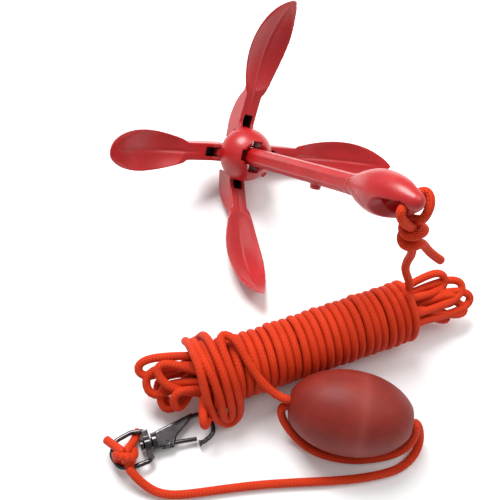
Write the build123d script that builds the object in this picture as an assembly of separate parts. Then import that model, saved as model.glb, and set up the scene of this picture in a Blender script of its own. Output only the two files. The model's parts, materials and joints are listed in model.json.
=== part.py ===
from build123d import *
import os
from math import radians, sqrt, tan

# Folding grapnel anchor kit: a cast shank with an eye, four folding flukes on pivot pins, a sliding
# locking collar, and its line with a hank, a float and a swivel snap hook.
# Millimetres. The floor is z = 0 and +Z is up. The anchor stands open on its crown and on the backs
# of two neighbouring flukes, so its shank leans; the line lies in front of it.

# ---- driving dimensions: the stance -------------------------------------------------------------
HUB_AT = (-12.5, 28.4, 31.2)  # the crown's reference point, on the shank's axis
LEAN = 49.75                 # the shank's angle from the vertical
LEAN_TO = -53.6              # the heading it leans to, from +X towards +Y
ROLL = 56.7                  # turn of the flukes about the shank's axis

# ---- driving dimensions: the anchor, in its own frame: z up the shank, r out from its axis ------
SHANK_W = 12.3               # across the shank's flats
SHANK_BEVEL = 3.0
NECK_Z = 143.0               # where the eye is joined to the shank
NOSE_Z = 201.0               # the eye's far end
EYE_Z = 185.5                # the oval hole across the eye: place, length and width
EYE_LONG = 20.0
EYE_WIDE = 9.4
EYE_MOUTH = 7.0              # how far from the axis its flared mouths start, and how deep they are
EYE_FLARE = 8.0
EYE_HEADING = 222.0          # the way the hole's lower mouth faces, about the axis
NUB_Z = 101.0                # the stop that the collar passes
NUB_R = 3.6
NUB_OUT = 9.6
KEY_SLOT_W = 8.0             # the collar's slot for the nub
PIVOT_R = 14.0               # pivot pins: distance from the axis, and height
PIVOT_Z = -7.0
PIN_R = 2.5
PIN_PLAY = 0.05
BOSS_R = 6.4                 # round root of a fluke, about its pin
EAR_T = 6.0                  # thickness of the crown's ears
EAR_R = 6.0
SLOT_W = 6.6                 # gap between a fluke's two cheeks
SLOT_THROUGH = 13.6          # where the gap stops being open below, and where it ends
SLOT_END = 27.5
SLOT_FLOOR = -15.5           # the closed part's floor
HUB_SIDE = 13.4              # the crown's square middle
NECK_HALF = 6.3              # half the width of a fluke's neck
WEB_END = 50.0               # how far out the deep web under the neck runs
PALM_DISH = 2.8              # hollow of the palm and its cross radius
PALM_DISH_R = 32.0
PALM_BACK_R = 23.0           # cross radius of the palm's back, which thins its rims
PALM_T = 3.0
TIP_R = 106.0
TIP_Z = 43.5
FLUKES = {                   # heading about the axis, and how far play lets each one tilt up at rest
    "fluke_right": (3.2, 0.4),
    "fluke_back": (86.1, -7.6),
    "fluke_left": (183.4, -9.0),
    "fluke_front": (267.2, 15.8),
}
NUB_HEADING = 267.2

# ---- driving dimensions: the line, its float and its hook ---------------------------------------
ROPE_D = 5.5
BEND_SHARE = 0.45            # how much of the shorter run beside a corner its bend may use
FLOAT_LONG = 77.4
FLOAT_EGG = 82.0             # the whole egg, before its ends are cut
FLOAT_D = 54.0
FLOAT_BORE_R = 6.4
FLOAT_AT = (56.25, -166.75, 27.0)
FLOAT_HEADING = -8.55
PASS_APART = 2.9             # each pass of the rope is this far from the bore's axis
HANK_LOW_END = (-34, -142, 20.5)
HANK_HIGH_END = (102, -91, 20.5)
HANK_WIDE = 44.0
HANK_TALL = 40.0
HOOK_AT = (-66.9, -180.8, 6.4)  # the swivel's axis is +X of the hook's own frame
HOOK_HEADING = 18.7
HOOK_PITCH = 5.0             # its nose rests lower than its eye
EYE_WIRE_R = 1.6
STUD_R = 2.5
STUD_PLAY = 0.08
HOOK_WIRE_R = 1.5
HOOK_PLATE = 6.0
GATE_AT = (7.0, -3.5)
GATE_SLOT = 3.2
GATE_AIM = -7.0              # the closed gate's heading in the hook's frame
GATE_PIN_R = 1.2

ROUTES = {                   # the middle of the rope, corner by corner, before the corners are bent
    "rope_head_loop": [
        (77.5, -97, 131.5), (77, -98.3, 137), (74.5, -98.8, 142.5), (70.5, -99, 148.5),
        (67.8, -97, 154), (71.5, -92, 155), (77.5, -86.5, 155.5), (81.3, -83.6, 156),
        (85, -84.8, 156.2), (86.2, -89.6, 154.4), (84.5, -94, 151.5), (82.5, -95.5, 145),
        (82.3, -94.5, 137), (83, -93.5, 129.5)],
    "rope_head_tail": [
        (82, -95, 127), (86.5, -95.5, 122.5), (91.5, -96.5, 115.5), (97, -97, 108.5), (103, -97.5, 103)],
    "rope_drop": [
        (81.5, -95, 124), (84, -93.5, 112), (87.5, -90.7, 98), (88.5, -86.8, 84), (89.8, -84.5, 70),
        (93.4, -82.3, 57), (98, -82.5, 46), (99.5, -86, 37)],
    "rope_lock_strand": [
        (-29, -135, 35), (-30, -128.5, 41), (-25.5, -122, 46), (-17, -126.5, 48), (-9.5, -139.5, 44),
        (-1.5, -149, 36.5), (7.5, -156, 31), (18, -161, 29.9)],
    "rope_float_turn": [
        (94.5, -172.5, 29.9), (97.5, -176.5, 28), (96.5, -181.5, 19.5), (92.5, -185, 10.5),
        (84, -187.5, 4.2), (72, -189.5, 3), (59.5, -190.3, 3), (47, -188.8, 3), (35, -185, 3.2),
        (25.5, -178.5, 4.5), (18.5, -172, 9.5), (13.5, -166.5, 16.5), (13, -162, 23), (18, -161, 24.1)],
    "rope_free_line": [
        (94.5, -172.5, 24.1), (99.5, -170.5, 21.5), (103, -175, 14), (103, -182, 6.5),
        (98, -189.5, 3), (89, -196, 3), (77, -199.5, 3), (60, -202.5, 3), (40, -204, 3),
        (20, -205, 3), (0, -206.5, 3), (-20, -209, 3), (-40, -212, 3), (-54, -213.5, 3),
        (-64, -212, 3.5), (-71, -208.5, 6), (-77, -204.5, 10), (-81.5, -199.5, 13)],
    "rope_hook_strand": [
        (-84.5, -190, 14), (-82.5, -186.5, 12), (-81.3, -182.8, 7.5), (-80, -178.2, 2.9),
        (-78.3, -172.5, 2.85)],
    "rope_hook_tail": [
        (-88, -189.5, 15), (-92.5, -185.5, 14.5), (-97, -181.5, 12)],
}

STANCE = Pos(*HUB_AT) * Rot(0, 0, LEAN_TO) * Rot(0, LEAN, 0) * Rot(0, 0, ROLL)
SNAP = Pos(*HOOK_AT) * Rot(0, 0, HOOK_HEADING) * Rot(0, HOOK_PITCH, 0)


# ---- the anchor ---------------------------------------------------------------------------------
def bevelled_bar(low, high):
    """The shank's section, a square with bevelled corners, between two heights."""
    section = chamfer(Rectangle(SHANK_W, SHANK_W).vertices(), SHANK_BEVEL)
    return Pos(0, 0, low) * extrude(section, high - low)


def ear(heading):
    """One ear of the crown: a plate with a round end about its pivot pin."""
    plate = Pos(PIVOT_R / 2, 0, PIVOT_Z) * Box(PIVOT_R, EAR_T, 2 * EAR_R)
    end = Pos(PIVOT_R, 0, PIVOT_Z) * Rot(90, 0, 0) * Cylinder(EAR_R, EAR_T)
    hole = Pos(PIVOT_R, 0, PIVOT_Z) * Rot(90, 0, 0) * Cylinder(PIN_R, 2 * EAR_T)
    return Rot(0, 0, heading) * (plate + end - hole)


def shank():
    """The cast shank with its crown, its four ears, a domed underside and the nub."""
    dome_top = PIVOT_Z - BOSS_R - 0.4
    body = bevelled_bar(dome_top, NECK_Z)
    dome = Pos(0, 0, dome_top - 16.0) * Sphere(18.0) & Pos(0, 0, dome_top - 3.0) * Cylinder(9.0, 6.0)
    body += dome & Pos(0, 0, dome_top - 25.0) * Box(40, 40, 50)
    body += Pos(0, 0, (dome_top - 0.4) / 2) * Rot(0, 0, FLUKES["fluke_right"][0]) * Box(
        HUB_SIDE, HUB_SIDE, -0.4 - dome_top)
    for heading, _ in FLUKES.values():
        body += ear(heading)
    nub = Pos(NUB_OUT / 2, 0, NUB_Z) * Rot(0, 90, 0) * Cylinder(NUB_R, NUB_OUT)
    nub = fillet(nub.edges().group_by(Axis.X)[-1], 1.4)
    return body + Rot(0, 0, NUB_HEADING) * nub


def pivot_pin(heading):
    """A headless pin, driven through an ear and flush with the fluke's cheeks."""
    pin = Pos(PIVOT_R, 0, PIVOT_Z) * Rot(90, 0, 0) * Cylinder(PIN_R, 2 * NECK_HALF - 0.6)
    return Rot(0, 0, heading) * chamfer(pin.edges().filter_by(GeomType.CIRCLE), 0.4)


def fluke_side():
    """A fluke from the side: round root, deep heel web, and a palm that curves up to its tip."""
    with BuildSketch(Plane.XZ) as side:
        with BuildLine():
            Line((PIVOT_R, PIVOT_Z + BOSS_R), (22, -2.4))
            Bezier((22, -2.4), (53, 6.4), (99, 17), (TIP_R, TIP_Z))
            Bezier((TIP_R, TIP_Z), (103.5, 17), (62, 3), (46, -2.5))
            ThreePointArc((46, -2.5), (37, -13.5), (23, -20))
            Line((23, -20), (11.5, -20.6))
            Line((11.5, -20.6), (PIVOT_R, PIVOT_Z - BOSS_R))
            Line((PIVOT_R, PIVOT_Z - BOSS_R), (PIVOT_R, PIVOT_Z + BOSS_R))
        make_face()
        with Locations((PIVOT_R, PIVOT_Z)):
            Circle(BOSS_R)
    return side.sketch


def fluke_plan():
    """A fluke from above: a parallel neck that swells to a leaf-shaped palm with a pointed tip."""
    with BuildSketch() as plan:
        with BuildLine():
            Line((0, NECK_HALF), (30, NECK_HALF))
            Spline((30, NECK_HALF), (52, 10.3), (66, 13.4), (80, 14.4), (92, 12.3), (100, 8.2),
                   (TIP_R, 0), tangents=((1, 0), (0.25, -1)))
            Line((TIP_R, 0), (0, 0))
            Line((0, 0), (0, NECK_HALF))
        make_face()
        mirror(about=Plane.XZ)
    return plan.sketch


def palm_spindle(depth, across):
    """A spindle whose side is the palm's curve: its depth below the rim, and its cross radius."""
    near, middle, far = Vector(46, 0, 4.2), Vector(84.5, 0, 19.3), Vector(104.8, 0, 40)
    along = (far - near).normalized()
    up = Vector(-along.Z, 0, along.X)
    floor_arc = ThreePointArc(near, middle - up * PALM_DISH, far)
    radius = floor_arc.radius + depth - PALM_DISH
    axis_at = floor_arc.arc_center - up * (radius - across)
    reach = sqrt(radius ** 2 - (radius - across) ** 2)
    start, end = axis_at - along * reach, axis_at + along * reach
    side = ThreePointArc(start, floor_arc.arc_center - up * radius, end)
    return revolve(make_face([side, Line(end, start)]), Axis(start, along), 360)


def fluke(heading, tilt):
    """One folding fluke, forked at its root to straddle an ear."""
    side = extrude(fluke_side(), 16, both=True)
    plan = Pos(0, 0, -30) * extrude(fluke_plan(), 90)
    palm = side & plan & palm_spindle(PALM_DISH + PALM_T, PALM_BACK_R)
    web = side & Pos(WEB_END / 2, 0, 0) * Box(WEB_END, 2 * NECK_HALF, 120)
    body = palm + web - palm_spindle(PALM_DISH, PALM_DISH_R)
    body -= Pos(SLOT_THROUGH / 2, 0, 0) * Box(SLOT_THROUGH, SLOT_W, 80)
    body -= Pos(SLOT_END / 2, 0, SLOT_FLOOR + 20) * Box(SLOT_END, SLOT_W, 40)
    body -= Pos(PIVOT_R, 0, PIVOT_Z) * Rot(90, 0, 0) * Cylinder(PIN_R + PIN_PLAY, 40)
    at_pin = Pos(PIVOT_R, 0, PIVOT_Z)
    return Rot(0, 0, heading) * at_pin * Rot(0, -tilt, 0) * at_pin.inverse() * body


def locking_collar():
    """The domed collar that slides on the shank, with a cross-shaped key slot for the nub."""
    with BuildSketch(Plane.XZ) as half:
        with BuildLine():
            Line((6.8, 5), (14.0, 5))
            ThreePointArc((14.0, 5), (15.8, 3.0), (16.4, 0.3))
            Line((16.4, 0.3), (19.3, 0.3))
            ThreePointArc((19.3, 0.3), (18.1, 11.2), (11.8, 19.0))
            Line((11.8, 19.0), (10.4, 19.6))
            Line((10.4, 19.6), (7.6, 17.0))
            Line((7.6, 17.0), (6.8, 5))
        make_face()
    body = revolve(half.sketch, Axis.Z, 360)
    body -= Pos(0, 0, 15) * Cylinder(7.5, 30)
    for turn in (0, 90):
        body -= Rot(0, 0, NUB_HEADING + turn) * Pos(0, 0, 15) * Box(22, KEY_SLOT_W, 40)
    tooth = Pos(15.8, 0, 12.5) * Box(5, 4, 6)
    tooth -= Pos(0, 0, 10) * Cylinder(14.0, 30)
    return body + Rot(0, 0, -45) * tooth


def shank_eye():
    """The egg-shaped eye at the shank's end, with a flared oval hole across it."""
    with BuildSketch(Plane.XZ) as outline:
        with BuildLine():
            egg = Spline((0, NOSE_Z), (6.2, 196), (9.2, 190), (11.8, 182), (13.2, 173), (12.6, 160),
                         (9.6, 150), (6.8, NECK_Z), tangents=((1, 0), (-0.35, -1)))
            Line(egg @ 1, (0, NECK_Z))
            Line((0, NECK_Z), (0, NOSE_Z))
        make_face()
    body = revolve(outline.sketch, Axis.Z, 360)
    across = Pos(0, 0, EYE_Z) * Rot(0, 90, 0)
    hole = SlotOverall(EYE_LONG, EYE_WIDE)
    body -= across * Pos(0, 0, -20) * extrude(hole, 40)
    for side in (0, 180):
        flare = extrude(hole, EYE_FLARE, taper=-38)
        body -= across * Rot(0, side, 0) * Pos(0, 0, EYE_MOUTH) * flare
    return Rot(0, 0, EYE_HEADING) * body


# ---- the line and its float ---------------------------------------------------------------------
def bend_radii(route):
    """Each corner's bend, as wide as the shorter run beside it allows."""
    radii = []
    for before, corner, after in zip(route, route[1:], route[2:]):
        run_in = Vector(*corner) - Vector(*before)
        run_out = Vector(*after) - Vector(*corner)
        turn = radians(run_in.get_angle(run_out))
        radii.append(BEND_SHARE * min(run_in.length, run_out.length) / tan(turn / 2))
    return radii


def rope(name):
    """A length of rope along its route: straight runs joined by tangent arcs."""
    route = ROUTES[name]
    radii = bend_radii(route)
    path = FilletPolyline(*route, radius=radii)
    section = Plane(origin=route[0], z_dir=path % 0) * Circle(ROPE_D / 2)
    print(name, round(path.length, 1), "mm, bends", [round(radius, 1) for radius in radii])
    return sweep(section, path=path)


def ball(centre, half_sizes):
    """An ellipsoid about a centre, its three half sizes along the axes."""
    return Pos(*centre) * scale(Sphere(1), by=half_sizes)


def head_knot():
    """The knot below the anchor's eye, as one closed solid of its outer shape."""
    return ball((81, -95.4, 128), (8.2, 6.8, 8.2))


def hook_knot():
    """The knot at the swivel's eye, as one closed solid of its outer shape."""
    return ball((-85, -191.8, 14.5), (7.2, 7.2, 6.4))


def hank_axis():
    """The wrapped part's low end, its length, and its turn about +Z."""
    low, high = Vector(*HANK_LOW_END), Vector(*HANK_HIGH_END)
    heading = (high - low).get_angle(Vector(1, 0, 0))
    return low, (high - low).length, heading


def hank():
    """The wrapped hank with a fan of loops at each end, as one closed solid of its outer shape."""
    low, length, heading = hank_axis()
    body = Rot(0, 90, 0) * extrude(Ellipse(HANK_TALL / 2, HANK_WIDE / 2), length)
    body = chamfer(body.edges().group_by(Axis.X)[0], 3)
    body = chamfer(body.edges().group_by(Axis.X)[-1], 3)
    body += ball((length + 20, -2, -3), (26, 14, 15))
    body += ball((-16, 3, -2), (27, 19, 16))
    return Pos(*low) * Rot(0, 0, heading) * body


def along_float(offset):
    """One pass of the rope through the float, above or below the bore's axis."""
    strand = Rot(0, 90, 0) * Cylinder(ROPE_D / 2, FLOAT_LONG)
    return Pos(*FLOAT_AT) * Rot(0, 0, FLOAT_HEADING) * Pos(0, 0, offset) * strand


def float_body():
    """The egg-shaped float, cut square at its ends, with a bore along it."""
    wall = Pos(0, FLOAT_BORE_R + FLOAT_D / 2) * Rectangle(FLOAT_LONG, FLOAT_D)
    body = revolve(Ellipse(FLOAT_EGG / 2, FLOAT_D / 2) & wall, Axis.X, 360)
    return Pos(*FLOAT_AT) * Rot(0, 0, FLOAT_HEADING) * body


# ---- the snap hook, in its own frame --------------------------------------------------------------
def wire(points, radius, start, end):
    """A round wire along a smooth line."""
    line = Spline(*points, tangents=(start, end))
    return sweep(Plane(origin=points[0], z_dir=line % 0) * Circle(radius), path=line)


def swivel_eye():
    """The D-shaped eye, with the flat boss that the hook's stud turns in."""
    body = Pos(-4.9, 0, 0) * Rot(0, 90, 0) * Cylinder(4.4, 4.2)
    body += Pos(-4.9, -0.8, 0) * Box(4.2, 19.4, 4.0)
    line = FilletPolyline((-4.9, -3, 0), (-4.9, -10.8, 0), (-18, -12, 0), (-25.6, -9.4, 0), (-28.6, -1, 0),
                          (-24.2, 7.4, 0), (-13, 10.2, 0), (-4.9, 8.6, 0), (-4.9, 3, 0),
                          radius=[2.4, 9, 6, 6, 6, 9, 2.4])
    body += sweep(Plane(origin=(-4.9, -3, 0), z_dir=(0, -1, 0)) * Circle(EYE_WIRE_R), path=line)
    return body - Pos(-4.9, 0, 0) * Rot(0, 90, 0) * Cylinder(STUD_R + STUD_PLAY, 10)


def snap_body():
    """The hook: a stud with its head and flange, a tapered plate, and the bent wire of the hook."""
    along = Rot(0, 90, 0)
    body = Pos(-4.9, 0, 0) * along * Cylinder(STUD_R, 6.8)
    body += Pos(-8.6, 0, 0) * along * Cylinder(3.3, 2.2)
    body += Pos(-0.4, 0, 0) * along * Cylinder(6.0, 3.2)
    with BuildSketch() as outline:
        with BuildLine():
            Polyline((0, -5.2), (11, -6.4), (14.7, 0.2), (27.4, 8.2), (27.6, 11.2), (0, 5.6), (0, -5.2))
        make_face()
    plate = Pos(0, 0, -HOOK_PLATE / 2) * extrude(outline.sketch, HOOK_PLATE)
    plate = fillet(plate.edges().group_by(Axis.Z)[-1], 1.2)
    plate = fillet(plate.edges().group_by(Axis.Z)[0], 1.2)
    body += plate
    body += wire([(24, 8.4, 0), (31, 9.6, 0), (36.8, 6, 0), (38.6, -1, 0), (36.2, -6, 0), (31, -8.6, 0),
                  (27.6, -9.2, 0)], HOOK_WIRE_R, (1, 0.3), (-1, -0.1))
    body += Pos(27.4, -9.2, 0) * along * Cylinder(2.1, 1.4)
    body -= Pos(13.3, -3.2, 0) * Box(19, 13, GATE_SLOT)
    return body - Pos(*GATE_AT) * Cylinder(GATE_PIN_R, 12)


def snap_gate():
    """The sprung gate: a root disc about its pin, a neck and a round rod."""
    body = Pos(0, 0, -0.7) * Cylinder(2.8, 1.6) + Pos(2.5, 0, -0.7) * Box(5, 2.6, 1.6)
    body += Pos(11.15, 0, 0) * Rot(0, 90, 0) * Cylinder(1.4, 16.3)
    body -= Cylinder(GATE_PIN_R + 0.05, 12)
    return Pos(*GATE_AT) * Rot(0, 0, GATE_AIM) * body


def gate_pin():
    """The gate's pin, flush with the plate's faces."""
    return Pos(*GATE_AT) * Cylinder(GATE_PIN_R, HOOK_PLATE)


def gate_spring():
    """The gate's coiled spring, as a plain ring about the pin above the gate's root."""
    return Pos(*GATE_AT) * Pos(0, 0, 0.85) * (Cylinder(2.6, 1.1) - Cylinder(GATE_PIN_R + 0.1, 1.1))


NODES = {
    "shank": STANCE * shank(),
    "locking_collar": STANCE * locking_collar(),
    "shank_eye": STANCE * shank_eye(),
    "float_body": float_body(),
    "rope_first_pass": along_float(PASS_APART),
    "rope_second_pass": along_float(-PASS_APART),
    "rope_head_knot": head_knot(),
    "rope_hook_knot": hook_knot(),
    "rope_hank": hank(),
    "swivel_eye": SNAP * swivel_eye(),
    "snap_body": SNAP * snap_body(),
    "snap_gate": SNAP * snap_gate(),
    "gate_pin": SNAP * gate_pin(),
    "gate_spring": SNAP * gate_spring(),
}
for name, (heading, tilt) in FLUKES.items():
    NODES[name] = STANCE * fluke(heading, tilt)
    NODES["pin_" + name] = STANCE * pivot_pin(heading)
for name in ROUTES:
    NODES[name] = rope(name) - NODES["rope_head_knot"] - NODES["rope_hook_knot"] - NODES["rope_hank"]

os.makedirs("parts", exist_ok=True)
for name, solid in NODES.items():
    export_step(solid, f"parts/{name}.step")
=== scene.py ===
import json
import math

import bmesh
import bpy
from mathutils import Matrix, Vector, noise


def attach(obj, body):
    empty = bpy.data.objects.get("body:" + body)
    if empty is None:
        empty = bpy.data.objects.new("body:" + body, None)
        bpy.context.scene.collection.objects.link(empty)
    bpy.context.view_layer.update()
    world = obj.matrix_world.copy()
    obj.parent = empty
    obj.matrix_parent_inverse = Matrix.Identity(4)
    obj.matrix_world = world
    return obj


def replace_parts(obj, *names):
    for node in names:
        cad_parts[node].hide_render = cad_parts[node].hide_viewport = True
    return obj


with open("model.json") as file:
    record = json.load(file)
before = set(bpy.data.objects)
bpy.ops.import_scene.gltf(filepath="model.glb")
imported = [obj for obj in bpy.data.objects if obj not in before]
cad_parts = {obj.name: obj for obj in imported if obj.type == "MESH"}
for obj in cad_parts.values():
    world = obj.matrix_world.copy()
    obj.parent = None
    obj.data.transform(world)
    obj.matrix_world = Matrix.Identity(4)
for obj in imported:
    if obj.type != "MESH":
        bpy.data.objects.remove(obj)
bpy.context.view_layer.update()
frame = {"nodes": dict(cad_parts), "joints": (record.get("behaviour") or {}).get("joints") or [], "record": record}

ROOT = "anchor_and_line"
MM = 0.001
ROPE_R = 2.75
CAP_HEIGHT = 0.35  # how far a cut end bulges, in rope radii
LYING = 3.0  # the height of the rope's middle where it lies on the floor


# ---- camera -----------------------------------------------------------------------------------------
def camera():
    data = bpy.data.cameras.new("camera")
    data.lens = 57.9
    data.sensor_width = 36
    cam = bpy.data.objects.new("camera", data)
    bpy.context.scene.collection.objects.link(cam)
    right = Vector((0.999, 0.0, 0.042)).normalized()
    back = Vector((-0.037, -0.487, 0.873)).normalized()
    up = back.cross(right).normalized()
    right = up.cross(back)
    m = Matrix((right, up, back)).transposed().to_4x4()
    m.translation = Vector((-27.7, -323.9, 516.8)) * MM
    cam.matrix_world = m
    data.clip_start = 0.01
    bpy.context.scene.camera = cam


# ---- cords ------------------------------------------------------------------------------------------
HANK_LOW = Vector((-34, -142, 0))
HANK_HEADING = math.atan2(51, 136)


def in_hank(u, v, w):
    """A point of the hank: along it, across it and above the floor, in millimetres."""
    c, s = math.cos(HANK_HEADING), math.sin(HANK_HEADING)
    return (HANK_LOW.x + u * c - v * s, HANK_LOW.y + u * s + v * c, w)


def centreline(route, resolution=4):
    """Points on the smooth curve that the route's points control, in metres."""
    curve = bpy.data.curves.new("route", "CURVE")
    curve.dimensions = "3D"
    curve.resolution_u = resolution
    spline = curve.splines.new("NURBS")
    spline.points.add(len(route) - 1)
    for point, at in zip(spline.points, route):
        point.co = (at[0] * MM, at[1] * MM, at[2] * MM, 1)
    spline.order_u = 3
    spline.use_endpoint_u = True
    holder = bpy.data.objects.new("route", curve)
    bpy.context.scene.collection.objects.link(holder)
    bpy.context.view_layer.update()
    mesh = bpy.data.meshes.new_from_object(holder.evaluated_get(bpy.context.evaluated_depsgraph_get()))
    points = [v.co.copy() for v in mesh.vertices]
    bpy.data.meshes.remove(mesh)
    bpy.data.objects.remove(holder)
    bpy.data.curves.remove(curve)
    return points


def tube(name, points, radius=ROPE_R, sides=14):
    """A round tube along points, with its seam coordinates in rope diameters for the braid."""
    bm = bmesh.new()
    uv = bm.loops.layers.uv.new("braid")
    rings, along = [], []
    tangent = (points[1] - points[0]).normalized()
    side = tangent.orthogonal().normalized()
    run = 0.0
    for i, p in enumerate(points):
        a, b = points[max(i - 1, 0)], points[min(i + 1, len(points) - 1)]
        new = (b - a).normalized()
        side = (side - new * side.dot(new)).normalized()
        up = new.cross(side)
        if i:
            run += (p - points[i - 1]).length
        along.append(run / (2 * radius * MM))
        ring = []
        for k in range(sides):
            t = 2 * math.pi * k / sides
            ring.append(bm.verts.new(p + (side * math.cos(t) + up * math.sin(t)) * radius * MM))
        rings.append(ring)
    for i in range(len(rings) - 1):
        for k in range(sides):
            n = (k + 1) % sides
            face = bm.faces.new((rings[i][k], rings[i][n], rings[i + 1][n], rings[i + 1][k]))
            face.smooth = True
            corners = ((k, i), (k + 1, i), (k + 1, i + 1), (k, i + 1))
            for loop, (around, ring) in zip(face.loops, corners):
                loop[uv].uv = (around / sides, along[ring])
    for end in (0, -1):
        ring = rings[end]
        out = (points[0] - points[1]) if end == 0 else (points[-1] - points[-2])
        out = out.normalized() * radius * MM * CAP_HEIGHT
        tip = bm.verts.new(points[end] + out)
        inner = [bm.verts.new(points[end] + (v.co - points[end]) * 0.72 + out * 0.75) for v in ring]
        for k in range(sides):
            n = (k + 1) % sides
            for quad in ((ring[k], ring[n], inner[n], inner[k]), (inner[k], inner[n], tip)):
                face = bm.faces.new(quad if end == -1 else tuple(reversed(quad)))
                face.smooth = True
                for loop in face.loops:
                    loop[uv].uv = (k / sides, along[end])
    mesh = bpy.data.meshes.new(name)
    bmesh.ops.recalc_face_normals(bm, faces=bm.faces)
    bm.to_mesh(mesh)
    bm.free()
    obj = bpy.data.objects.new(name, mesh)
    bpy.context.scene.collection.objects.link(obj)
    return obj


# the head loop: up through the eye, round its nose, twice round itself in the knot, and a cut end
HEAD_LOOP = [
    (81, -94, 122), (80.8, -93.8, 127), (80, -94, 132), (78.2, -96, 137.5), (75, -98.2, 143),
    (70.5, -99, 148.5), (67.8, -97, 154), (71.5, -92, 155), (77.5, -86.5, 155.5), (81.3, -83.6, 156),
    (84.6, -85.2, 156), (85.6, -89.8, 154), (84.3, -94, 151), (82.3, -96, 146),
    (80.8, -93.5, 142), (77, -90.5, 138.5), (73.6, -93, 135), (74.4, -98, 133.2),
    (79, -100.6, 134.8), (84.2, -99, 136.6), (86.6, -94.6, 134.4), (84, -90.6, 131),
    (78.4, -90.4, 128), (74.6, -94, 125.4), (75.6, -99, 123.6), (80.5, -101.2, 124),
    (85.2, -99.2, 125.2)]
HEAD_TAIL = [(88, -96.6, 121.5), (91.7, -96.7, 115.2), (97, -97, 108.5), (103, -97.5, 103)]
DROP = [
    (81.5, -95, 124), (84, -93.5, 112), (87.5, -90.7, 98), (88.5, -86.8, 84), (89.8, -84.5, 70),
    (93.4, -82.3, 57), (98, -82.5, 46), (99.5, -86, 37)]
LOCK = [
    (-25.5, -122, 46), (-17, -126.5, 48), (-9.5, -139.5, 44), (-1.5, -149, 36.5), (7.5, -156, 31),
    (18, -161, 29.9)]
TURN = [
    (94.5, -172.5, 29.9), (97.5, -176.5, 28), (96.5, -181.5, 19.5), (92.5, -185, 10.5), (84, -187.5, 4.2),
    (72, -189.5, 3), (59.5, -190.3, 3), (47, -188.8, 3), (35, -185, 3.2), (25.5, -178.5, 4.5),
    (18.5, -172, 9.5), (13.5, -166.5, 16.5), (13, -162, 23), (18, -161, 24.1)]
FREE = [
    (94.5, -172.5, 24.1), (99.5, -170.5, 21.5), (103, -175, 14), (103, -182, 6.5), (98, -189.5, 3),
    (89, -196, 3), (77, -199.5, 3), (60, -202.5, 3), (40, -204, 3), (20, -205, 3), (0, -206.5, 3),
    (-20, -209, 3), (-40, -212, 3), (-54, -213.5, 3), (-64, -212, 3.5), (-71, -208.5, 6),
    (-77, -204.5, 10), (-81.5, -199.5, 13)]
# the knot at the hook: the line goes round the eye's wire, twice round itself, and ends in a stub
HOOK_STRAND = [
    (-83.5, -196, 15), (-84.5, -190, 14), (-82.5, -186.5, 12), (-81.3, -182.8, 7.5), (-80, -178.2, 2.9),
    (-78.3, -172.5, 2.85)]
HOOK_WRAP = [
    (-80, -187, 8), (-78.5, -190.5, 12), (-79.5, -194, 17), (-84, -194.6, 20), (-88.5, -192.5, 18.5),
    (-90.5, -191.5, 13), (-89, -193.5, 8), (-85, -196.5, 6.5), (-81.2, -196.5, 9.5), (-80, -195, 14)]
HOOK_TAIL = [(-85.5, -191, 19.5), (-89.5, -187.5, 16.5), (-93, -184.8, 14.5), (-97, -181.5, 12)]

# the core's loops past each end of the wrapping: tip (along, across, up), then the half width that
# each loop opens to across the hank and up
HIGH_LOOPS = [
    ((175, 9, 30), (4, 5)), ((186, 2, 26), (5, 3)), ((190, -6, 20), (4, 4)), ((184, -11, 16), (4, 3)),
    ((172, -10, 11), (5, 1)), ((178, -4, 22), (2, 5)), ((169, 2, 25), (5, 2))]
LOW_LOOPS = [
    ((-41, 17, 27), (5, 4)), ((-39, 7, 21), (8, 5)), ((-33, -3, 13), (8, 5)), ((-26, -10, 22), (5, 6)),
    ((-30, 9, 31), (7, 3)), ((-33, 4, 12), (8, 3)), ((-13, -30, 26), (3, 3))]
CORE = [
    (10, 32), (13, 28), (2, 34), (9, 24), (-8, 29), (4, 26), (-12, 24), (11, 20), (-4, 30),
    (-12, 18), (4, 17), (0, 21), (8, 13), (-4, 12), (-9, 15)]
# from the last wrap: over the top, down in front and back up in a narrow bight, round behind, down and
# up again in a wider bight about the first, which reaches the floor, and over the top
LAST_WRAP = [
    (-2.5, 17.5, 9), (-3, 22, 17), (-2.8, 23.5, 27), (-2.6, 20, 37.5), (-2.5, 10, 45), (-1.5, -2, 48),
    (0.2, -13, 43.5), (1.2, -22.5, 31), (0.8, -27, 19.5), (2.6, -28.5, 12.5), (5.6, -28.5, 12.5),
    (7.2, -27, 20), (7, -23, 31), (6.8, -14, 42.5), (6.4, -3, 47), (6, 8, 46.5), (5.8, 18, 40.5),
    (5.2, 25, 31), (4, 28, 21), (1, 29, 15), (-3, 29, 15), (-6.2, 28, 21), (-6.9, 25, 31),
    (-6.6, 18, 40.5), (-6.2, 8, 46.5), (-6, -2, 47.5), (-6.6, -12, 42),
    (-6.8, -21.5, 29), (-4.2, -26.5, 17), (0.3, -28.8, 8.5), (5, -29.5, 4.5), (9.8, -28.5, 6.5),
    (12.6, -27, 13), (13, -25, 24), (12.6, -20, 35), (12, -10, 44), (11.4, 2, 48), (11.8, 10, 48)]


# along the hank: where the core comes out of the wrapping at each end, and its middle
LOW_END, MIDDLE, HIGH_END = 2, 72, 147
# the wrapping: its turns and the points in each, where it starts, the step from turn to turn, the half
# width and half height of a turn, and the turn from which they get looser
TURNS, TURN_POINTS = 26, 14
WRAP_START, WRAP_STEP = 143.5, 5.62
WRAP_ACROSS, WRAP_UP = 19.2, 17.8
LOOSE_FROM = 21


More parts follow.
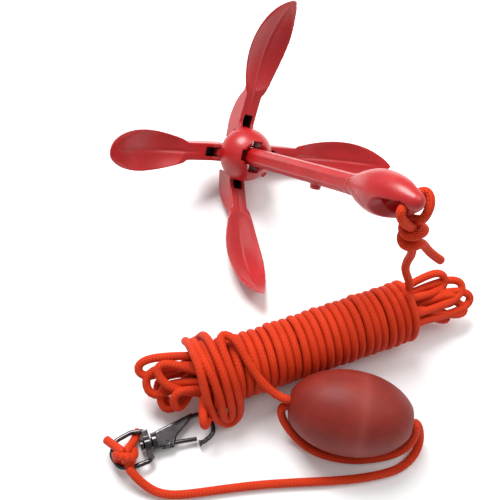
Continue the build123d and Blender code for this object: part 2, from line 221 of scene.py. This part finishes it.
def loop_out(start, end, tip, spread, length_at):
    """One loop of the core past the wrapping's end: out to its tip and back."""
    (u, v, w), (across, up) = tip, spread
    route = [(length_at, *start)]
    for share, width in ((0.45, 0.7), (0.82, 1.0)):
        route.append((length_at + (u - length_at) * share,
                      start[0] + (v - start[0]) * share + across * width,
                      start[1] + (w - start[1]) * share + up * width))
    route.append((u, v + across * 0.5, w + up * 0.5))
    route.append((u, v - across * 0.5, w - up * 0.5))
    for share, width in ((0.82, 1.0), (0.45, 0.7)):
        route.append((length_at + (u - length_at) * share,
                      end[0] + (v - end[0]) * share - across * width,
                      end[1] + (w - end[1]) * share - up * width))
    route.append((length_at, *end))
    return route


def hank_route():
    """The hank's core to and fro, then its wrapping from the high end to the low one."""
    route = [(132, 4, 34), (100, 1, 33)]
    for i in range(len(LOW_LOOPS)):
        route += loop_out(CORE[2 * i], CORE[2 * i + 1], *LOW_LOOPS[i], LOW_END)
        route.append((MIDDLE, *CORE[2 * i + 1]))
        route += loop_out(CORE[2 * i + 1], CORE[2 * i + 2], *HIGH_LOOPS[i], HIGH_END)
        route.append((MIDDLE, *CORE[2 * i + 2]))
    route.append((100, 4, 14))
    route.append((136, 8, 12))
    for i in range(TURNS * TURN_POINTS):
        t = i / TURN_POINTS
        a = -math.pi * 0.35 + 2 * math.pi * t
        along = WRAP_START - WRAP_STEP * t - 0.25 * math.sin(1.7 * t)
        uneven = 0.014 * math.sin(2.3 * t) + 0.009 * math.sin(5.1 * t + 1)
        loose = 1 + uneven + 0.1 * max(0, (t - LOOSE_FROM) / 4)
        rise = WRAP_UP * loose * (1 + math.sin(a))
        route.append((along + 1.2 * math.sin(a), WRAP_ACROSS * loose * math.cos(a), LYING + rise))
    return [in_hank(*p) for p in route + LAST_WRAP]


def stub(name, route, *nodes):
    """A short length of rope that belongs to another one's knot."""
    obj = tube(name, centreline(route, 8))
    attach(obj, ROOT)
    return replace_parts(obj, *nodes)


def cord(name, route, resolution, nodes):
    """A declared length of rope along a route."""
    points = centreline(route, resolution)
    obj = tube(name, points)
    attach(obj, ROOT)
    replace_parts(obj, *nodes)
    return obj


camera()
hook_strand = stub("line_hook_strand", HOOK_STRAND, "rope_hook_strand", "rope_hook_knot")
hook_wrap = stub("line_hook_wrap", HOOK_WRAP)
hook_tail = stub("line_hook_tail", HOOK_TAIL, "rope_hook_tail")
line = cord("line_hank", DROP + hank_route() + LOCK + TURN + FREE, 3,
            ["rope_drop", "rope_hank", "rope_lock_strand", "rope_first_pass", "rope_float_turn",
             "rope_second_pass", "rope_free_line"])
loop = cord("line_head_loop", HEAD_LOOP + HEAD_TAIL, 6,
            ["rope_head_loop", "rope_head_knot", "rope_head_tail"])


# ---- materials --------------------------------------------------------------------------------------
class Nodes:
    """A material's node tree, with short ways to add and join nodes."""

    def __init__(self, name):
        self.mat = bpy.data.materials.new(name)
        self.mat.use_nodes = True
        self.tree = self.mat.node_tree
        self.shader = self.tree.nodes["Principled BSDF"]

    def add(self, kind, **values):
        node = self.tree.nodes.new(kind)
        for key, value in values.items():
            setattr(node, key, value)
        return node

    def link(self, a, b):
        self.tree.links.new(a, b)

    def math(self, operation, a, b=None):
        node = self.add("ShaderNodeMath", operation=operation)
        for socket, value in zip(node.inputs, (a, b)):
            if value is None:
                continue
            if isinstance(value, (int, float)):
                socket.default_value = value
            else:
                self.link(value, socket)
        return node.outputs[0]

    def noise(self, scale, detail=3.0, rough=0.5, vector=None, stretch=None):
        node = self.add("ShaderNodeTexNoise")
        node.inputs["Scale"].default_value = scale
        node.inputs["Detail"].default_value = detail
        node.inputs["Roughness"].default_value = rough
        if vector is None:
            vector = self.add("ShaderNodeTexCoord").outputs["Object"]
        if stretch:
            mapping = self.add("ShaderNodeMapping")
            mapping.inputs["Scale"].default_value = stretch
            self.link(vector, mapping.inputs["Vector"])
            vector = mapping.outputs[0]
        self.link(vector, node.inputs["Vector"])
        return node.outputs["Fac"]

    def ramp(self, fac, stops):
        node = self.add("ShaderNodeValToRGB")
        ramp = node.color_ramp
        while len(ramp.elements) < len(stops):
            ramp.elements.new(0.5)
        for element, (at, colour) in zip(ramp.elements, stops):
            element.position = at
            element.color = (*colour, 1)
        self.link(fac, node.inputs["Fac"])
        return node.outputs["Color"]

    def scaled(self, fac, low, high):
        node = self.add("ShaderNodeMapRange")
        node.inputs["To Min"].default_value = low
        node.inputs["To Max"].default_value = high
        self.link(fac, node.inputs["Value"])
        return node.outputs[0]

    def bump(self, height, distance, strength=1.0, under=None):
        node = self.add("ShaderNodeBump")
        node.inputs["Distance"].default_value = distance
        node.inputs["Strength"].default_value = strength
        self.link(height, node.inputs["Height"])
        if under is not None:
            self.link(under, node.inputs["Normal"])
        return node.outputs[0]

    def mix(self, fac, a, b):
        node = self.add("ShaderNodeMix", data_type="RGBA")
        self.link(fac, node.inputs[0])
        for socket, value in ((node.inputs[6], a), (node.inputs[7], b)):
            if isinstance(value, tuple):
                socket.default_value = (*value, 1)
            else:
                self.link(value, socket)
        return node.outputs[2]

    def band(self, middle, axis, at, width):
        """1 in a soft band across an axis, 0 away from it; all in metres."""
        away = self.add("ShaderNodeVectorMath", operation="SUBTRACT")
        self.link(self.add("ShaderNodeTexCoord").outputs["Object"], away.inputs[0])
        away.inputs[1].default_value = middle
        along = self.add("ShaderNodeVectorMath", operation="DOT_PRODUCT")
        self.link(away.outputs[0], along.inputs[0])
        along.inputs[1].default_value = axis
        off = self.math("DIVIDE", self.math("SUBTRACT", along.outputs["Value"], at), width)
        return self.math("DIVIDE", 1.0, self.math("ADD", 1.0, self.math("POWER", off, 2.0)))

    def set(self, **values):
        for name, value in values.items():
            socket = self.shader.inputs[name.replace("_", " ")]
            if hasattr(value, "links"):
                self.link(value, socket)
            else:
                socket.default_value = value
        return self.mat


def red_coating():
    n = Nodes("red_coating")
    broad = n.noise(60, 2)
    fine = n.noise(900, 2)
    colour = n.ramp(broad, [(0.3, (0.37, 0.006, 0.008)), (0.7, (0.45, 0.009, 0.011))])
    # painted shade: where the pocket mark is set, the coating is mixed to near black to stand in for the deep
    # shade inside the flukes' slots
    painted_pocket_shade = n.add("ShaderNodeAttribute", attribute_name="painted_pocket_shade").outputs["Fac"]
    colour = n.mix(painted_pocket_shade, colour, (0.05, 0.005, 0.005))
    normal = n.bump(n.noise(180, 3), 0.0006, 0.35)
    normal = n.bump(fine, 0.0001, 0.25, normal)
    return n.set(Base_Color=colour, Roughness=n.scaled(n.noise(240, 4), 0.30, 0.46), Normal=normal,
                 Coat_Weight=0.18, Coat_Roughness=0.18, IOR=1.5)


def orange_rope():
    """Braided cord: two families of strands that cross over and under each other."""
    n = Nodes("orange_rope")
    uv = n.add("ShaderNodeUVMap", uv_map="braid")
    split = n.add("ShaderNodeSeparateXYZ")
    n.link(uv.outputs[0], split.inputs[0])
    around = n.math("MULTIPLY", split.outputs[0], 10.0)
    along = n.math("MULTIPLY", split.outputs[1], 2.4)
    one, two = n.math("ADD", around, along), n.math("SUBTRACT", around, along)
    ridge = [n.math("ABSOLUTE", n.math("SINE", n.math("MULTIPLY", x, math.pi))) for x in (one, two)]
    cell = n.math("ADD", n.math("FLOOR", one), n.math("FLOOR", two))
    over = n.math("PINGPONG", cell, 1.0)
    under = n.math("SUBTRACT", 1.0, over)
    weave = n.math("ADD", n.math("MULTIPLY", ridge[0], over), n.math("MULTIPLY", ridge[1], under))
    fibre = n.noise(2600, 2)
    height = n.math("ADD", weave, n.math("MULTIPLY", fibre, 0.25))
    # painted shade and light: the colour follows the weave, darker in the grooves between strands and lighter on
    # their crowns, plus random tone from noise
    groove_shade_and_tone = n.math("ADD", n.math("MULTIPLY", weave, 0.7), n.math("MULTIPLY", n.noise(90, 2), 0.4))
    colour = n.ramp(groove_shade_and_tone, [(0.15, (0.36, 0.012, 0.002)), (0.55, (0.58, 0.030, 0.004)),
                           (1.0, (0.72, 0.050, 0.006))])
    return n.set(Base_Color=colour, Roughness=n.scaled(n.noise(700), 0.55, 0.72),
                 Normal=n.bump(height, 0.0004, 0.75), Specular_IOR_Level=0.2)


FLOAT_MIDDLE = (0.05625, -0.16675, 0.027)
FLOAT_AXIS = (0.989, -0.149, 0)


def float_foam():
    n = Nodes("float_foam")
    colour = n.ramp(n.noise(70, 4, 0.6), [(0.3, (0.17, 0.012, 0.007)), (0.75, (0.24, 0.020, 0.012))])
    seam = n.band(FLOAT_MIDDLE, FLOAT_AXIS, 0.006, 0.0035)
    colour = n.mix(n.math("MULTIPLY", seam, 0.35), colour, (0.36, 0.07, 0.055))
    scuff = n.noise(120, 5, 0.7, stretch=(1, 1, 6))
    normal = n.bump(n.noise(1500, 3), 0.00012, 0.5)
    normal = n.bump(scuff, 0.0002, 0.2, normal)
    return n.set(Base_Color=colour, Roughness=n.scaled(scuff, 0.42, 0.6), Normal=normal,
                 Specular_IOR_Level=0.28)


def hook_plating():
    n = Nodes("hook_plating")
    worn = n.noise(160, 4, 0.6)
    colour = n.ramp(worn, [(0.3, (0.02, 0.018, 0.019)), (0.7, (0.085, 0.075, 0.078))])
    return n.set(Base_Color=colour, Metallic=1.0, Roughness=n.scaled(worn, 0.26, 0.14),
                 Normal=n.bump(n.noise(700, 3), 0.0001, 0.15), Coat_Weight=0.5, Coat_Roughness=0.06)


RED, ROPE, FOAM, PLATED = red_coating(), orange_rope(), float_foam(), hook_plating()
for piece in (line, loop, hook_strand, hook_wrap, hook_tail):
    piece.data.materials.append(ROPE)


# ---- castings, the float and the hook -----------------------------------------------------------------
BODY_OF = {node: body for body, held in frame["record"]["behaviour"]["bodies"].items() for node in held}


def cast(name, node, voxel, rounds, material, shape=None):
    """The CAD node's shape with the soft edges of a thickly coated casting."""
    mesh = frame["nodes"][node].data.copy()
    obj = bpy.data.objects.new(name, mesh)
    bpy.context.scene.collection.objects.link(obj)
    remesh = obj.modifiers.new("remesh", "REMESH")
    remesh.mode = "VOXEL"
    remesh.voxel_size = voxel * MM
    smooth = obj.modifiers.new("smooth", "SMOOTH")
    smooth.factor = 0.5
    smooth.iterations = rounds
    bpy.context.view_layer.update()
    graph = bpy.context.evaluated_depsgraph_get()
    done = bpy.data.meshes.new_from_object(obj.evaluated_get(graph))
    obj.modifiers.clear()
    obj.data = done
    done.name = name
    if shape:
        shape(obj)
    for face in done.polygons:
        face.use_smooth = True
    done.materials.clear()
    done.materials.append(material)
    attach(obj, BODY_OF[node])
    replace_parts(obj, node)
    return obj


JOINTS = {j["name"]: j for j in frame["joints"]}
UP_SHANK = Vector(JOINTS["collar_slide"]["axis"]).normalized()


# metres: the half width of a fluke's pocket and its reach from the pin, inside which shade is painted dark, and
# the palm's fold
SHADED_POCKET_HALF, SHADED_POCKET_REACH = 0.0034, 0.0165
FOLD_FROM, FOLD_TO, FOLD_FADE = 0.016, 0.102, 0.02
FOLD_DEPTH, FOLD_WIDTH = 0.0006, 0.0012


def groove_palm_and_paint_pocket_shade(fluke):
    """A function that presses a shallow fold along this fluke's palm and marks its pocket for painted shade."""
    joint = JOINTS[fluke + "_fold"]
    axis, pivot = Vector(joint["axis"]).normalized(), Vector(joint["pos_m"])

    def shape(obj):
        obj.data.update()
        normals = [v.normal.copy() for v in obj.data.vertices]
        tip = max((v.co - pivot for v in obj.data.vertices), key=lambda rel: rel.length).normalized()
        # the pocket's faces that look towards the pin are marked for painted shade, which the coating mixes to
        # near black
        painted_pocket_shade = obj.data.attributes.new("painted_pocket_shade", "FLOAT", "POINT")
        for v, normal in zip(obj.data.vertices, normals):
            rel = v.co - pivot
            off, reach = abs(rel.dot(axis)), rel.length
            faces_pin = normal.dot(rel) < 0 and rel.dot(tip) > -0.002
            if faces_pin and off < SHADED_POCKET_HALF and reach < SHADED_POCKET_REACH:
                painted_pocket_shade.data[v.index].value = 1.0
            if off < 5 * FOLD_WIDTH and FOLD_FROM < reach < FOLD_TO and normal.dot(UP_SHANK) > 0.15:
                fade = min(1, (reach - FOLD_FROM) / FOLD_FADE, (FOLD_TO - reach) / FOLD_FADE)
                v.co -= normal * FOLD_DEPTH * fade * math.exp(-(off / FOLD_WIDTH) ** 2)
        obj.data.update()
    return shape


NECK = Vector((52.3, -59.4, 123.6)) * MM
NECK_LENGTH, LUMP_HEIGHT = 0.0035, 0.0006


def roughen_neck(obj):
    """Lumps of coating where the eye is joined to the shank."""
    obj.data.update()
    normals = [v.normal.copy() for v in obj.data.vertices]
    for v, normal in zip(obj.data.vertices, normals):
        off = (v.co - NECK).dot(UP_SHANK) / NECK_LENGTH
        v.co += normal * LUMP_HEIGHT * math.exp(-off * off) * (noise.noise(v.co * 420) + 0.4)
    obj.data.update()


cast("shank_casting", "shank", 0.5, 5, RED, roughen_neck)
cast("eye_casting", "shank_eye", 0.5, 5, RED, roughen_neck)
cast("collar_casting", "locking_collar", 0.45, 5, RED)
for side in ("right", "back", "left", "front"):
    fluke = "fluke_" + side
    cast(fluke + "_casting", fluke, 0.5, 6, RED, groove_palm_and_paint_pocket_shade(fluke))
    pin = frame["nodes"]["pin_" + fluke]
    pin.data.materials.clear()
    pin.data.materials.append(RED)
cast("float_egg", "float_body", 0.8, 8, FOAM)
cast("snap_casting", "snap_body", 0.25, 3, PLATED)
cast("eye_ring", "swivel_eye", 0.25, 3, PLATED)
cast("gate_rod", "snap_gate", 0.2, 2, PLATED)
for node in ("gate_pin", "gate_spring"):
    frame["nodes"][node].data.materials.clear()
    frame["nodes"][node].data.materials.append(PLATED)


# ---- stage ------------------------------------------------------------------------------------------
# name, place, power and width of each soft lamp
LAMPS = [("key", (-0.25, 0.5, 1.05), 17, 0.55), ("fill", (0.6, 0.1, 1.0), 5, 0.8)]


def stage():
    bpy.context.scene.view_settings.view_transform = "Standard"
    bm = bmesh.new()
    bmesh.ops.create_grid(bm, x_segments=1, y_segments=1, size=6)
    mesh = bpy.data.meshes.new("floor")
    bm.to_mesh(mesh)
    bm.free()
    floor = bpy.data.objects.new("floor", mesh)
    bpy.context.scene.collection.objects.link(floor)
    mat = bpy.data.materials.new("floor")
    mat.use_nodes = True
    shader = mat.node_tree.nodes["Principled BSDF"]
    shader.inputs["Base Color"].default_value = (0.93, 0.93, 0.93, 1)
    shader.inputs["Roughness"].default_value = 0.8
    shader.inputs["Specular IOR Level"].default_value = 0.1
    floor.data.materials.append(mat)
    world = bpy.data.worlds.new("studio")
    bpy.context.scene.world = world
    world.use_nodes = True
    world.node_tree.nodes["Background"].inputs["Color"].default_value = (1, 1, 1, 1)
    world.node_tree.nodes["Background"].inputs["Strength"].default_value = 0.46
    for name, at, energy, size in LAMPS:
        data = bpy.data.lights.new(name, "AREA")
        data.energy = energy
        data.size = size
        lamp = bpy.data.objects.new(name, data)
        bpy.context.scene.collection.objects.link(lamp)
        lamp.location = at
        lamp.rotation_euler = (Vector((0, -0.05, 0.03)) - Vector(at)).to_track_quat("-Z", "Y").to_euler()


stage()
